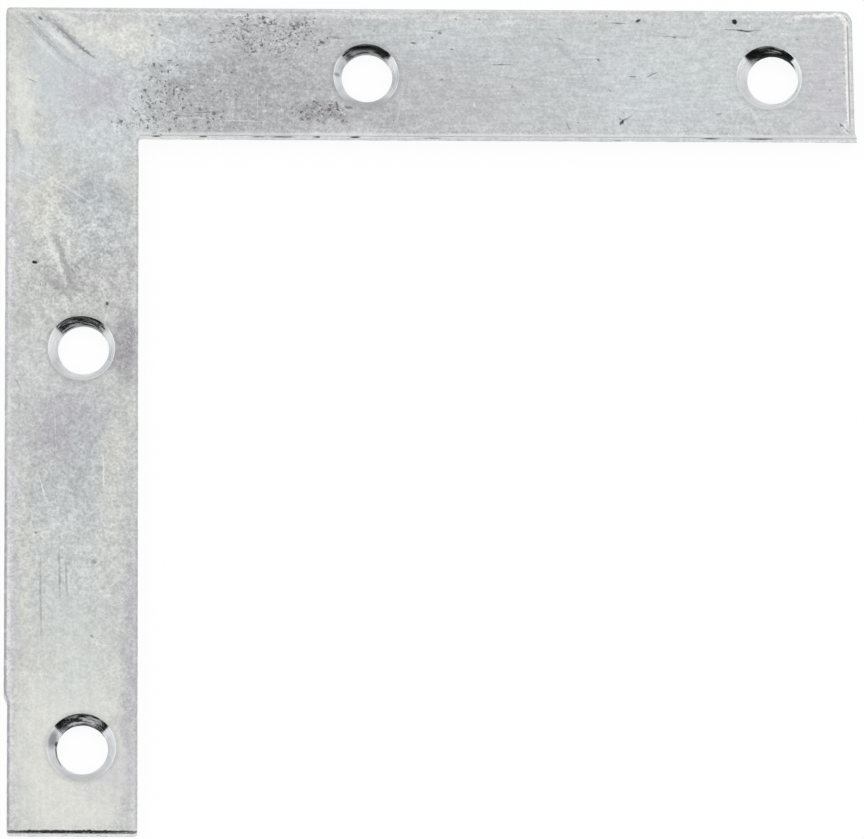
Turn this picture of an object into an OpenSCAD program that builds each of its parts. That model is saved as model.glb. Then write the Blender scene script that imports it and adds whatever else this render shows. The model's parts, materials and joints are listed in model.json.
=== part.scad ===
// Flat corner brace: an L-shaped steel plate, sheared and pierced from strip,
// with two countersunk screw holes in each arm. Millimetres, +Z up.
// The brace lies on its back face at z = 0, with the countersunk face up.
// The origin is on the back face, where the centre lines of the two arms cross.
// The top arm runs along +X and the side arm along -Y, so the outer corner
// is at (-arm_width / 2, +arm_width / 2).

/* [Plate] */
// Length of each arm, from the outer corner to its end
arm_length = 100; // [80:1:200]
// Width of each arm
arm_width = 15.6; // [15:0.1:24]
// Thickness of the plate
thickness = 2; // [1.6:0.1:3]

/* [Outline] */
// Radius of the outer corner
outer_corner_r = 0.45; // [0.2:0.05:0.8]
// Radius of the fillet in the inner corner
inner_fillet_r = 0.4; // [0.2:0.05:2]
// Radius of the blunted corner at the tip of the top arm
blunt_tip_r = 1.4; // [1:0.1:3]
// Radius of the two corners at the tip of the side arm
tip_r = 0.35; // [0.2:0.05:0.8]
// Angle by which the cut end of the top arm runs out of square
end_skew = 0.9; // [0:0.1:2]
// Length of the spur that the shear left at the low corner of that end
spur_out = 0.3; // [0.1:0.05:0.6]
// Width of the spur along the cut
spur_w = 0.6; // [0.4:0.1:1.2]

/* [Step in the side arm] */
// Depth of the step, where the second press stroke cut the arm narrower
step_depth = 0.4; // [0.1:0.05:0.6]
// Distance of the step from the end of the arm
step_to_end = 16.6; // [16:0.2:30]
// Length of the slope from one edge line to the other
step_run = 1.4; // [0.4:0.1:2]

/* [Sheared edge] */
// Width of the shoulder that the cutting edge pulled down along the front
shoulder_w = 0.9; // [0.4:0.1:1.2]
// Drop of the shoulder at the edge
shoulder_drop = 0.28; // [0.1:0.02:0.36]
// How far back from the shoulder its arc has its highest point
shoulder_lead = 0.1; // [0.05:0.01:0.2]

/* [Screw holes] */
// Diameter of the pierced holes
bore_d = 6; // [5:0.1:6.4]
// Full angle of the countersinks
sink_angle = 90; // [82:1:100]
// Top arm, from the outer corner to the first hole
top_near = 42.6; // [20:0.1:60]
// Top arm, from the second hole to the end of the arm
top_margin = 9.4; // [8:0.1:16]
// Side arm, from the outer corner to the first hole
side_near = 41.6; // [20:0.1:60]
// Side arm, from the second hole to the end of the arm
side_margin = 10.2; // [8:0.1:15]
// How far the hole line of the top arm lies inward of its centre line
top_inset = 0.45; // [0:0.05:1.5]
// How far the hole line of the side arm lies inward of its centre line
side_inset = 1.4; // [0:0.05:1.5]

/* [Countersinks] */
// Rim diameter in the first hole of the top arm
rim_top_near = 7.8; // [7.4:0.05:8.6]
// Rim diameter in the second hole of the top arm
rim_top_far = 7.82; // [7.4:0.05:8.6]
// Rim diameter in the first hole of the side arm
rim_side_near = 7.92; // [7.4:0.05:8.6]
// Rim diameter in the second hole of the side arm
rim_side_far = 8.16; // [7.4:0.05:8.6]
// How far the countersink sits to the left of the first hole, top arm
off_top_near = 0.12; // [0:0.02:0.5]
// How far the countersink sits to the left of the second hole, top arm
off_top_far = 0.48; // [0:0.02:0.5]
// How far the countersink sits to the left of the first hole, side arm
off_side_near = 0.24; // [0:0.02:0.5]
// How far the countersink sits to the left of the second hole, side arm
off_side_far = 0.14; // [0:0.02:0.5]

/* [Hidden] */
steel = [0.79, 0.80, 0.80];
over = 1;
fine = 64;

// edge lines of the two arms
outer_x = -arm_width / 2;
outer_y = arm_width / 2;
inner_x = arm_width / 2;
inner_y = -arm_width / 2;
end_x = outer_x + arm_length;
end_y = outer_y - arm_length;
narrow_x = outer_x + step_depth;
step_y = end_y + step_to_end;

// the blunted tip is an arc that meets the skewed end line smoothly
tip_x = end_x - blunt_tip_r;
tip_y = outer_y - blunt_tip_r;
tip_end = [tip_x + blunt_tip_r * cos(end_skew), tip_y + blunt_tip_r * sin(end_skew)];
function end_line(y) = tip_end[0] + (tip_end[1] - y) * tan(end_skew);

// the shoulder is one arc in section: its centre height and its radius
// follow from its width, its drop and its lead
arc_y = ((pow(shoulder_w, 2) + 2 * shoulder_w * shoulder_lead) / shoulder_drop + shoulder_drop) / 2;
arc_r = sqrt(pow(arc_y, 2) + pow(shoulder_lead, 2));

// each screw hole: [x, y, rim diameter, run-out of the countersink]
holes = [
    [outer_x + top_near, -top_inset, rim_top_near, off_top_near],
    [end_x - top_margin, -top_inset, rim_top_far, off_top_far],
    [side_inset, outer_y - side_near, rim_side_near, off_side_near],
    [side_inset, end_y + side_margin, rim_side_far, off_side_far]
];

module round_at(x, y, r) {
    translate([x, y]) circle(r, $fn = fine);
}

// what rounding a square corner takes away; sx and sy point out of the plate
module corner_waste(x, y, sx, sy, r) {
    difference() {
        translate([min(x - sx * r, x + sx * over), min(y - sy * r, y + sy * over)])
            square(r + over);
        round_at(x - sx * r, y - sy * r, r);
    }
}

// what the blunted tip takes away
module tip_waste() {
    difference() {
        polygon([
            [tip_x, tip_y],
            [tip_x, outer_y + over],
            [end_x + over, outer_y + over],
            [end_x + over, tip_end[1]],
            tip_end
        ]);
        round_at(tip_x, tip_y, blunt_tip_r);
    }
}

// flat outline of the brace, seen from the front
module outline() {
    difference() {
        polygon([
            [outer_x, outer_y],
            [end_line(outer_y), outer_y],
            [end_line(inner_y + spur_w), inner_y + spur_w],
            [end_line(inner_y) + spur_out, inner_y + spur_w / 2],
            [end_line(inner_y) + spur_out, inner_y],
            [inner_x + inner_fillet_r, inner_y],
            [inner_x, inner_y - inner_fillet_r],
            [inner_x, end_y],
            [narrow_x, end_y],
            [narrow_x, step_y - step_run],
            [outer_x, step_y]
        ]);
        // the fillet: the slanted edge above is hollowed to an arc
        round_at(inner_x + inner_fillet_r, inner_y - inner_fillet_r, inner_fillet_r);
        tip_waste();
        corner_waste(outer_x, outer_y, -1, 1, outer_corner_r);
        corner_waste(inner_x, end_y, 1, -1, tip_r);
        corner_waste(narrow_x, end_y, -1, -1, tip_r);
    }
}

// what the shoulder takes away, in section: the edge is at x = 0, the metal
// at x < 0, and the front face at y = 0. Past the edge the arc runs on down,
// so the spur slopes away below the shoulder
module shoulder_section() {
    difference() {
        translate([-shoulder_w - shoulder_lead, -shoulder_drop * 1.5])
            square([shoulder_w + shoulder_lead + over, shoulder_drop * 1.5 + over]);
        round_at(-shoulder_w - shoulder_lead, -arc_y, arc_r);
    }
}

// shoulder along a straight edge: from p in direction a, metal on the right
module straight_shoulder(p, a, length) {
    translate([p[0], p[1], thickness])
        rotate([90, 0, a + 90]) linear_extrude(length) shoulder_section();
}

// shoulder round the blunted tip
module tip_shoulder() {
    translate([tip_x, tip_y, thickness]) rotate([0, 0, end_skew])
        rotate_extrude(angle = 90 - end_skew, $fn = fine)
            translate([blunt_tip_r, 0]) shoulder_section();
}

// shoulder round the inner fillet, which bends the other way
module fillet_shoulder() {
    translate([inner_x + inner_fillet_r, inner_y - inner_fillet_r, thickness])
        rotate([0, 0, 90]) rotate_extrude(angle = 90, $fn = fine) intersection() {
            translate([inner_fillet_r, 0]) mirror([1, 0]) shoulder_section();
            translate([0, -over]) square(over * 4);
        }
}

// the shoulder of the whole outline, taken clockwise from the outer corner
module shoulders() {
    straight_shoulder([outer_x - over, outer_y], 0, over + arm_length - blunt_tip_r);
    tip_shoulder();
    straight_shoulder(tip_end, end_skew - 90, arm_width);
    straight_shoulder([end_x + over * 2, inner_y], 180, arm_length - arm_width + over * 2 - inner_fillet_r);
    fillet_shoulder();
    straight_shoulder([inner_x, inner_y - inner_fillet_r], -90, arm_length - arm_width - inner_fillet_r + over);
    straight_shoulder([inner_x + over, end_y], 180, arm_width + over * 2);
    straight_shoulder([narrow_x, end_y - over], 90, over + step_to_end - step_run);
    straight_shoulder([outer_x, step_y - step_run], 90, arm_length - step_to_end + step_run + over);
}

// one screw hole: pierced right through, with its countersink from the front
module screw_hole(h) {
    slope = tan(sink_angle / 2);
    translate([h[0], h[1], -over])
        cylinder(d = bore_d, h = thickness + over * 2, $fn = fine);
    translate([h[0] - h[3], h[1], 0])
        cylinder(
            r1 = h[2] / 2 - thickness * slope,
            r2 = h[2] / 2 + over * slope,
            h = thickness + over,
            $fn = fine
        );
}

module corner_plate() {
    color(steel) difference() {
        linear_extrude(thickness) outline();
        shoulders();
        for (h = holes) screw_hole(h);
    }
}

corner_plate();
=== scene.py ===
# %% [markdown]
# A flat corner brace, dressed for a studio picture.
# The real thing is one L-shaped plate of zinc-plated steel, sheared from strip, with four
# countersunk screw holes. The solid model already has its true outline, so this script
# builds a finer skin of the same plate, with the faults a press leaves, and gives it a
# plated finish with the tints, scratches and specks of a brace that has lain in a bin.

# %% Load the solid model and read its sizes
import json
import math
import random

import bmesh
import bpy
from mathutils import Matrix, Vector, noise
from mathutils.geometry import delaunay_2d_cdt


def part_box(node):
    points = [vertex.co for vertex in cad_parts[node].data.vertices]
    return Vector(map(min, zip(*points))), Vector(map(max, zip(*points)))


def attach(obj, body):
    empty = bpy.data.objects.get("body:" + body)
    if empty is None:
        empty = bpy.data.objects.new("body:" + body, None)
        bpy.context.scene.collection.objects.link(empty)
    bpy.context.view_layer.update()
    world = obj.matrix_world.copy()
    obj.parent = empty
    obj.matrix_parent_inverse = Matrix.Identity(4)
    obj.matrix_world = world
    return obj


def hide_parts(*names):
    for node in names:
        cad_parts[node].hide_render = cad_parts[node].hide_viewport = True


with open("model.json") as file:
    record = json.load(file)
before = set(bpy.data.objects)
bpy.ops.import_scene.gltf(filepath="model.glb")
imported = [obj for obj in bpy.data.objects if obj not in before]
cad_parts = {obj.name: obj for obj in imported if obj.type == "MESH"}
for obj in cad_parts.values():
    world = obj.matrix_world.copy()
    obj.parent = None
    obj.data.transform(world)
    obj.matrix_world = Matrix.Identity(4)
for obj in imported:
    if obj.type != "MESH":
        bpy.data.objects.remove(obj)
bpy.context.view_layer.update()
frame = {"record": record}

MM = 0.001
low, high = (Vector(corner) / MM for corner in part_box("corner_plate"))

thickness = high.z - low.z
arm_width = 2 * high.y          # the origin is where the arms' centre lines cross
arm_length = high.y - low.y
print(f"plate {thickness:.2f} thick, arms {arm_length:.1f} long and {arm_width:.1f} wide, in mm")

# %% [markdown]
# The outline comes first. A press cuts it as straight sides with small corners, and every
# side has its own little fault: the tip of the top arm is blunted and cut out of square,
# a spur is left at its low corner, and the outer side of the side arm has a step where
# two strokes of the press met. The values are those of the solid model.

# %% Corners of the outline, clockwise from the outer corner
outer_x, outer_y = -arm_width / 2, arm_width / 2
inner_x, inner_y = arm_width / 2, -arm_width / 2
end_x, end_y = outer_x + arm_length, outer_y - arm_length
step_depth, step_to_end, step_run = 0.4, 16.6, 1.4
blunt_tip_r, end_skew = 1.4, math.radians(0.9)
spur_out, spur_w = 0.3, 0.6
narrow_x = outer_x + step_depth

corners = [
    # place, radius, +1 where the metal is inside the turn and -1 in the inner corner
    ((outer_x, outer_y), 0.45, 1),
    ((end_x - blunt_tip_r * math.tan(end_skew), outer_y), blunt_tip_r, 1),
    ((end_x + (arm_width - blunt_tip_r) * math.tan(end_skew), inner_y), 0.12, 1),
    ((inner_x, inner_y), 0.4, -1),
    ((inner_x, end_y), 0.35, 1),
    ((narrow_x, end_y), 0.35, 1),
]

# %% [markdown]
# The edge can't be one bevel: a sheared edge changes along its way. So the outline is
# walked in steps of a third of a millimetre, and each station knows its outward
# direction. A ring at any distance in from the edge is then worked out from the stations,
# and it meets in a mitre at the sharp corners, as the cut itself does.

# %% Stations along the outline
STATION_GAP = 0.34
ARC_STEPS = 8


def left_of(a, b):
    d = (Vector(b) - Vector(a)).normalized()
    return Vector((-d.y, d.x))


def step_bulge(along):
    """How far the outer side stands out past the narrowed end of the side arm."""
    t = min(max((along - (step_to_end - step_run)) / step_run, 0.0), 1.0)
    return step_depth * t * t * (3 - 2 * t)


stations = []
count = len(corners)
normals = [left_of(corners[i][0], corners[(i + 1) % count][0]) for i in range(count)]
normals[-1] = Vector((-1.0, 0.0))      # the stepped side follows its own two lines
for i, (place, radius, turn) in enumerate(corners):
    before, after = normals[i - 1], normals[i]
    mitre = (before + after) / (1 + before.dot(after))
    centre = Vector(place) - mitre * radius * turn
    for k in range(ARC_STEPS + 1):
        n = before.lerp(after, k / ARC_STEPS).normalized()
        stations.append(("arc", centre, n, radius, turn, mitre))
    follow, next_r, next_turn = corners[(i + 1) % count]
    next_mitre = (after + normals[(i + 1) % count]) / (1 + after.dot(normals[(i + 1) % count]))
    start = centre + after * radius * turn
    stop = Vector(follow) - next_mitre * next_r * next_turn + after * next_r * next_turn
    stepped = i == count - 1
    if stepped:
        stop.x = start.x               # walk the narrow line, and bulge out at the step
    steps = max(2, round((stop - start).length / STATION_GAP))
    for k in range(1, steps):
        stations.append(("side", start, stop, k / steps, after, (radius, turn, next_r, next_turn), stepped))
print(f"{len(stations)} stations round the outline")


def ring_point(station, inset):
    """The station's place on a line that runs the given distance in from the edge."""
    if station[0] == "arc":
        _, centre, n, radius, turn, mitre = station
        if turn < 0:
            return centre - n * (radius + inset)
        reach = radius - inset
        return centre + (n if reach >= 0 else mitre) * reach
    _, start, stop, share, n, (r0, turn0, r1, turn1), stepped = station
    length = (stop - start).length
    first = max(0.0, inset - r0) if turn0 > 0 else 0.0
    last = length - (max(0.0, inset - r1) if turn1 > 0 else 0.0)
    along = min(max(share * length, first), last)
    point = start + (stop - start) * (along / length) - n * inset
    return point + n * step_bulge(along) if stepped else point


# %% [markdown]
# The section of a sheared edge has four bands, from the front: a rolled shoulder where
# the tool first pulled the metal down, a bright burnished band, a torn band, and a small
# burr at the back. The bands wander along the cut, so their widths come from smooth noise
# read at each station's own place, and the ends of the outline meet without a seam.

# %% Section of the sheared edge
SHOULDER_W, SHOULDER_DROP = 0.92, 0.28
SHOULDER_TILT = 0.60    # sine of the slope that the shoulder reaches at the cut
SKIN_INSET, BACK_INSET = 1.75, 0.9       # where the flat skins take over from the edge
TORN_FROM = 0.95        # depth below the front at which the burnished band tears


def wander(point, scale, seed):
    return noise.noise(Vector((point.x * scale, point.y * scale, seed)))


def edge_section(place):
    """Inset and height of each ring at one station, from the front skin to the back skin."""
    w = SHOULDER_W * (1 + 0.16 * wander(place, 0.22, 1.0) + 0.10 * wander(place, 1.3, 2.0))
    drop = SHOULDER_DROP * (1 + 0.18 * wander(place, 0.3, 3.0) + 0.12 * wander(place, 1.7, 4.0))
    torn = thickness - TORN_FROM * (1 + 0.16 * wander(place, 0.6, 5.0))
    rough = 0.035 * wander(place, 2.6, 6.0)
    burr = 0.03 * (1 + wander(place, 1.1, 7.0))
    full = 1 - math.cos(math.asin(SHOULDER_TILT))
    section = [(SKIN_INSET, thickness), (w + 0.12, thickness)]
    for u in (0.0, 0.15, 0.3, 0.45, 0.6, 0.72, 0.84, 0.93, 0.985):
        fall = (1 - math.cos(math.asin(SHOULDER_TILT * u))) / full
        section.append((w * (1 - u), thickness - drop * fall))
    top = thickness - drop
    section += [
        (0.0, top - 0.03), (0.0, top - 0.10), (0.0, torn + 0.05), (0.004, torn),
        (0.03 + rough, torn - 0.06), (0.035 - rough, torn * 0.66), (0.03 + rough, torn * 0.33),
        (0.02, 0.10), (-burr, 0.03), (0.0, 0.0), (0.10, 0.0), (BACK_INSET, 0.0),
    ]
    return section


BANDS = len(edge_section(Vector((0, 0))))
FIRST_WALL_BAND = 11    # bands before this one belong to the plated front
print(f"{BANDS} rings in the edge section")

# %% [markdown]
# Each hole was pierced first and countersunk after, and the drill wandered: the cones sit
# a little to the left of their holes, and one is deeper. The hole's place and bore come
# from the mounts of the record, and the rims from the solid model's own values. The line
# from rim to bore follows the cone down until it meets the bore's wall, so an off-centre
# cone gives a wide band on one side and a narrow one on the other, by itself.

# %% Rings of the countersunk holes
RIM_D = {"top_near_hole": 7.8, "top_far_hole": 7.82, "side_near_hole": 7.92, "side_far_hole": 8.16}
RUN_OUT = {"top_near_hole": 0.12, "top_far_hole": 0.48, "side_near_hole": 0.24, "side_far_hole": 0.14}
HOLE_STEPS = 120
HOLE_SKIRT = 0.7        # flat ring round each rim, before the skin


def hole_rings(mount):
    """Rings of one hole, each a list of (x, y, z, distance from the cone's axis)."""
    bore = Vector(mount["pos_m"][:2]) / MM
    bore_r, rim_r = mount["dims"]["r_mm"], RIM_D[mount["name"]] / 2
    cone = bore - Vector((RUN_OUT[mount["name"]], 0))
    rings = []
    for k in range(HOLE_STEPS):
        angle = 2 * math.pi * k / HOLE_STEPS
        u = Vector((math.cos(angle), math.sin(angle)))
        gap = cone - bore
        meet = -u.dot(gap) + math.sqrt(u.dot(gap) ** 2 - gap.dot(gap) + bore_r ** 2)
        wall = ((cone + u * meet) - bore).normalized()
        lip = 0.012 * (1 + wander(cone + u * 5, 0.8, 11.0))
        raised = ((HOLE_SKIRT, 0.0), (0.22, 0.0), (0.11, lip * 0.4), (0.05, lip), (0.015, lip * 0.5),
                  (-0.02, -0.03))
        column = [(cone + u * (rim_r + out), thickness + up, rim_r + out) for out, up in raised]
        for share in (0.06, 0.2, 0.4, 0.6, 0.8, 0.94):
            reach = rim_r + (meet - rim_r) * share
            column.append((cone + u * reach, thickness - (rim_r - reach), reach))
        foot = thickness - (rim_r - meet)
        column.append((cone + u * meet, foot, meet))
        tear = 0.05 + 0.03 * wander(cone + u * 4, 1.6, 12.0)
        for out, z in ((0.0, foot - 0.06), (0.0, foot * 0.7), (0.0, foot * 0.45), (tear, foot * 0.38),
                       (tear * 0.8, foot * 0.2), (tear, 0.06), (tear + 0.05, 0.0), (tear + 0.14, 0.0),
                       (HOLE_SKIRT, 0.0)):
            column.append((bore + wall * (bore_r + out), z, bore_r + out))
        rings.append(column)
    return cone, rim_r, bore, bore_r, rings


bores = [mount for mount in frame["record"]["mounts"] if mount["kind"] == "bore"]
holes = {mount["name"]: hole_rings(mount) for mount in bores}
CONE_FROM, CONE_TO = 5, 12      # rings between which the turned cone lies
for name, (cone, rim_r, bore, bore_r, rings) in holes.items():
    print(f"{name}: bore {2 * bore_r:.2f} at {bore.x:.2f}, {bore.y:.2f}; rim {2 * rim_r:.2f} mm")

# %% [markdown]
# Knocks and drag marks are real hollows, so they bend the reflections in every view. They
# are a short list of grooves, each with two ends, a width and a depth, in millimetres on
# the front face. The whole plate is also very slightly wavy, as strip off a coil is.

# %% Hollows in the front face
GROOVES = [
    # start, end, half width, depth
    ((-6.0, 7.0), (0.3, 0.8), 0.38, 0.030),
    ((-3.6, 7.1), (0.6, 3.6), 0.55, 0.045),
    ((0.6, 3.6), (2.5, 1.8), 0.40, 0.035),
    ((-3.1, -20.0), (-0.7, -25.2), 0.60, 0.040),
    ((-7.0, -7.4), (-6.2, -9.1), 0.40, 0.030),
    ((54.5, 5.2), (59.3, 0.6), 0.70, 0.015),
]


def hollow(x, y):
    fall = 0.0
    for (ax, ay), (bx, by), width, depth in GROOVES:
        a, b, p = Vector((ax, ay)), Vector((bx, by)), Vector((x, y))
        h = min(max((p - a).dot(b - a) / (b - a).length_squared, 0.0), 1.0)
        gap = (p - a - (b - a) * h).length / width
        if gap < 3:
            fall += depth * math.exp(-gap * gap)
    return fall


def settle(x, y, z):
    """Puts a point of the ideal plate where the real one has it."""
    up = z / thickness
    wave = 0.012 * noise.noise(Vector((x * 0.09, y * 0.09, 20.0)))
    return Vector((x, y, z + up * wave - (hollow(x, y) if z > thickness * 0.8 else 0.0))) * MM


# %% [markdown]
# The flat faces are filled by a triangle net that is tied to the edge's innermost ring and
# to the skirts of the holes, with loose points between them, a net fine enough for the
# grooves. A constrained Delaunay net does this in one call, and triangles that fall in a
# hole or outside the L are left out.

# %% Net of a flat face
def on_plate(x, y, margin):
    across = outer_x + margin < x and outer_y - margin > y
    return across and ((x < inner_x - margin and y > end_y + margin)
                       or (y > inner_y + margin and x < end_x - margin))


def off_holes(x, y, margin, front):
    for cone, rim_r, bore, bore_r, _ in holes.values():
        centre, radius = (cone, rim_r) if front else (bore, bore_r)
        if (Vector((x, y)) - centre).length < radius + HOLE_SKIRT + margin:
            return False
    return True


def face_net(loops, inset, gap, front):
    """Triangles between the closed loops of plane points, as points and corner triples."""
    rng = random.Random(5 if front else 6)
    points, ties = [], []
    for loop in loops:
        base = len(points)
        points += loop
        ties += [(base + k, base + (k + 1) % len(loop)) for k in range(len(loop))]
    y = end_y
    while y < outer_y:
        x = outer_x
        while x < end_x:
            px, py = x + rng.uniform(-0.3, 0.3) * gap, y + rng.uniform(-0.3, 0.3) * gap
            if on_plate(px, py, inset + gap * 0.7) and off_holes(px, py, gap * 0.6, front):
                points.append(Vector((px, py)))
            x += gap
        y += gap
    net, _, faces, *_ = delaunay_2d_cdt(points, ties, [], 1, 1e-4)
    kept = []
    for face in faces:
        middle = sum((net[k] for k in face), Vector((0, 0))) / len(face)
        if off_holes(middle.x, middle.y, 0.0, front):
            kept.append(face)
    return net, kept


# %% [markdown]
# Now the pieces of the skin are joined: the band round the edge, the four holes and the
# two nets. Points that fall in the same place are merged, so the plate is one closed
# surface. Two numbers are kept at every point for the finishes: how far it lies in from
# the edge, and how far from a cone's axis.

# %% Build the plate's skin
FACE, WALL, CONE = 0, 1, 2      # the three finishes of the plate
skin = bmesh.new()
edge_gap = skin.verts.layers.float.new("edge_gap")
turned_r = skin.verts.layers.float.new("turned_r")


def spot(x, y, z, gap, radius):
    vertex = skin.verts.new(settle(x, y, z))
    vertex[edge_gap] = gap
    vertex[turned_r] = radius
    return vertex


def gap_to_edge(x, y):
    across = min(x - outer_x, outer_y - y)
    side = min(across, inner_x - x, y - end_y) if x < inner_x else -1
    top = min(across, y - inner_y, end_x - x) if y > inner_y else -1
    return max(side, top)


def strip(columns, finish_of):
    """Quads between neighbouring columns of points, closed into a loop."""
    for k, column in enumerate(columns):
        following = columns[(k + 1) % len(columns)]
        for j in range(len(column) - 1):
            quad = [column[j], column[j + 1], following[j + 1], following[j]]
            skin.faces.new(quad).material_index = finish_of(j)


def spur(point, inset):
    """The spur draws the low corner of the cut end outward."""
    near = min(max(1 - (point.y - inner_y) / spur_w, 0.0), 1.0) if point.x > end_x - 1 else 0.0
    return Vector((spur_out * near * max(0.0, 1 - inset / 0.5), 0))


edge_columns, front_loop, back_loop = [], [], []
for station in stations:
    column = []
    for inset, z in edge_section(ring_point(station, SKIN_INSET)):
        point = ring_point(station, inset)
        point = point + spur(point, max(inset, 0.0))
        column.append((point, z, max(inset, 0.0)))
    front_loop.append(column[0][0])
    back_loop.append(column[-1][0])
    edge_columns.append([spot(p.x, p.y, z, inset, 0.0) for p, z, inset in column])
strip(edge_columns, lambda j: FACE if j < FIRST_WALL_BAND or j > BANDS - 4 else WALL)

front_loops, back_loops = [front_loop], [back_loop]
for cone, rim_r, bore, bore_r, rings in holes.values():
    columns = [[spot(p.x, p.y, z, gap_to_edge(p.x, p.y), r) for p, z, r in column] for column in rings]
    strip(columns[::-1], lambda j: CONE if CONE_FROM <= j < CONE_TO else (FACE if j < CONE_FROM else WALL))
    front_loops.append([column[0][0] for column in rings])
    back_loops.append([column[-1][0] for column in rings])

for loops, inset, gap, z, front in (
    (front_loops, SKIN_INSET, 0.75, thickness, True),      # loops, inset, net gap, height, front
    (back_loops, BACK_INSET, 2.2, 0.0, False),
):
    net, faces = face_net(loops, inset, gap, front)
    points = [spot(p.x, p.y, z, gap_to_edge(p.x, p.y), 0.0) for p in net]
    for face in faces:
        corners_of = [points[k] for k in face]
        skin.faces.new(corners_of if front else corners_of[::-1]).material_index = FACE

bmesh.ops.remove_doubles(skin, verts=skin.verts, dist=0.004 * MM)
bmesh.ops.dissolve_degenerate(skin, edges=skin.edges, dist=0.002 * MM)
bmesh.ops.delete(skin, geom=[v for v in skin.verts if not v.link_faces], context="VERTS")
slits = [line for line in skin.edges if line.is_boundary]      # hair-thin ones, at the skewed corner
bmesh.ops.holes_fill(skin, edges=slits, sides=0)
bmesh.ops.recalc_face_normals(skin, faces=skin.faces)
open_edges = sum(1 for edge in skin.edges if len(edge.link_faces) != 2)
for face in skin.faces:
    face.smooth = True
for line in skin.edges:      # the drill leaves a crisp edge where a cone meets its bore
    line.smooth = {face.material_index for face in line.link_faces} != {CONE, WALL}

plate_mesh = bpy.data.meshes.new("brace_plate")
skin.to_mesh(plate_mesh)
skin.free()
plate = bpy.data.objects.new("brace_plate", plate_mesh)
bpy.context.collection.objects.link(plate)
print(f"skin: {len(plate_mesh.polygons)} faces, {open_edges} open edges")

# %% [markdown]
# The finishes are built from small node groups, each made once and placed where needed.
# A few helpers keep the node code short: one adds a node, one feeds a socket from either
# a number or another socket, and the rest wrap the nodes that come up again and again.

# %% Helpers for shader nodes
def colour(red, green, blue):
    """A colour as it looks on the screen, turned into the linear values Blender wants."""
    linear = [((c + 0.055) / 1.055) ** 2.4 if c > 0.04045 else c / 12.92 for c in (red, green, blue)]
    return (*linear, 1.0)


def feed(tree, socket, value):
    if isinstance(value, bpy.types.NodeSocket):
        tree.links.new(value, socket)
    elif value is not None:
        socket.default_value = value


def add(tree, kind, **settings):
    made = tree.nodes.new(kind)
    for key, value in settings.items():
        setattr(made, key, value)
    return made


def sums(tree, operation, a, b=None, clamp=False):
    made = add(tree, "ShaderNodeMath", operation=operation, use_clamp=clamp)
    feed(tree, made.inputs[0], a)
    feed(tree, made.inputs[1], b)
    return made.outputs[0]


def times(tree, first, *others):
    for other in others:
        first = sums(tree, "MULTIPLY", first, other)
    return first


def strongest(tree, first, *others):
    for other in others:
        first = sums(tree, "MAXIMUM", first, other)
    return first


def vectors(tree, operation, a, b=None, scale=None):
    made = add(tree, "ShaderNodeVectorMath", operation=operation)
    feed(tree, made.inputs[0], a)
    feed(tree, made.inputs[1], b)
    if scale is not None:
        feed(tree, made.inputs["Scale"], scale)
    return made.outputs["Value" if operation == "LENGTH" else "Vector"]


def split(tree, vector):
    """The three numbers of a place or a direction."""
    made = add(tree, "ShaderNodeSeparateXYZ")
    feed(tree, made.inputs[0], vector)
    return made.outputs


def turn_back(tree, place, angle):
    """The place as it reads on axes that are turned by the angle about Z."""
    less = times(tree, angle, -1.0)
    made = add(tree, "ShaderNodeVectorRotate", rotation_type="Z_AXIS")
    feed(tree, made.inputs["Vector"], place)
    feed(tree, made.inputs["Angle"], less)
    return made.outputs[0]


def ramp(tree, value, low_end, high_end, out_low=0.0, out_high=1.0, smooth=True):
    """A value carried from one range to another; past its ends it stays level."""
    kind = "SMOOTHSTEP" if smooth else "LINEAR"     # a smooth step needs no clamp of its own
    made = add(tree, "ShaderNodeMapRange", interpolation_type=kind, clamp=not smooth)
    for socket, number in zip(made.inputs, (value, low_end, high_end, out_low, out_high)):
        feed(tree, socket, number)
    return made.outputs[0]


def between(tree, share, a, b):
    """A value that goes from a to b as the share goes from 0 to 1."""
    made = add(tree, "ShaderNodeMix", data_type="FLOAT")
    for socket, number in zip((made.inputs[0], made.inputs[2], made.inputs[3]), (share, a, b)):
        feed(tree, socket, number)
    return made.outputs[0]


def blend(tree, share, a, b, kind="MIX"):
    """The same for colours."""
    made = add(tree, "ShaderNodeMix", data_type="RGBA", blend_type=kind)
    for socket, tint in zip((made.inputs[0], made.inputs[6], made.inputs[7]), (share, a, b)):
        feed(tree, socket, tint)
    return made.outputs[2]


def lay(tree, tone, *layers):
    """Lays tints over a tone, each given as its mask, its share and its colour."""
    for mask, share, tint in layers:
        tone = blend(tree, times(tree, mask, share), tone, colour(*tint))
    return tone


def cloud(tree, place, scale, detail=2.0, rough=0.5, out="Fac"):
    """Noise, with as many lumps to a millimetre as the scale says."""
    made = add(tree, "ShaderNodeTexNoise")
    for label, value in (("Vector", place), ("Scale", scale), ("Detail", detail), ("Roughness", rough)):
        feed(tree, made.inputs[label], value)
    return made.outputs[out]


def new_group(name, inputs):
    """An empty node group with named inputs, its input node and the socket of its mask."""
    tree = bpy.data.node_groups.new(name, "ShaderNodeTree")
    for label, kind, value in inputs:
        socket = tree.interface.new_socket(label, in_out="INPUT", socket_type=f"NodeSocket{kind}")
        socket.default_value = value
    tree.interface.new_socket("Mask", in_out="OUTPUT", socket_type="NodeSocketFloat")
    return tree, add(tree, "NodeGroupInput").outputs, add(tree, "NodeGroupOutput").inputs["Mask"]


def place_group(tree, group, **values):
    made = add(tree, "ShaderNodeGroup", node_tree=group)
    for label, value in values.items():
        feed(tree, made.inputs[label.replace("_", " ")], value)
    return made.outputs[0]


# %% [markdown]
# Tints, stains and worn places are soft ovals with ragged borders. The group below takes
# a place, measures it against an oval and gives a mask. The raggedness is in the place
# that it is given, which has already been pushed about by noise, so one noise serves all.

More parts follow.
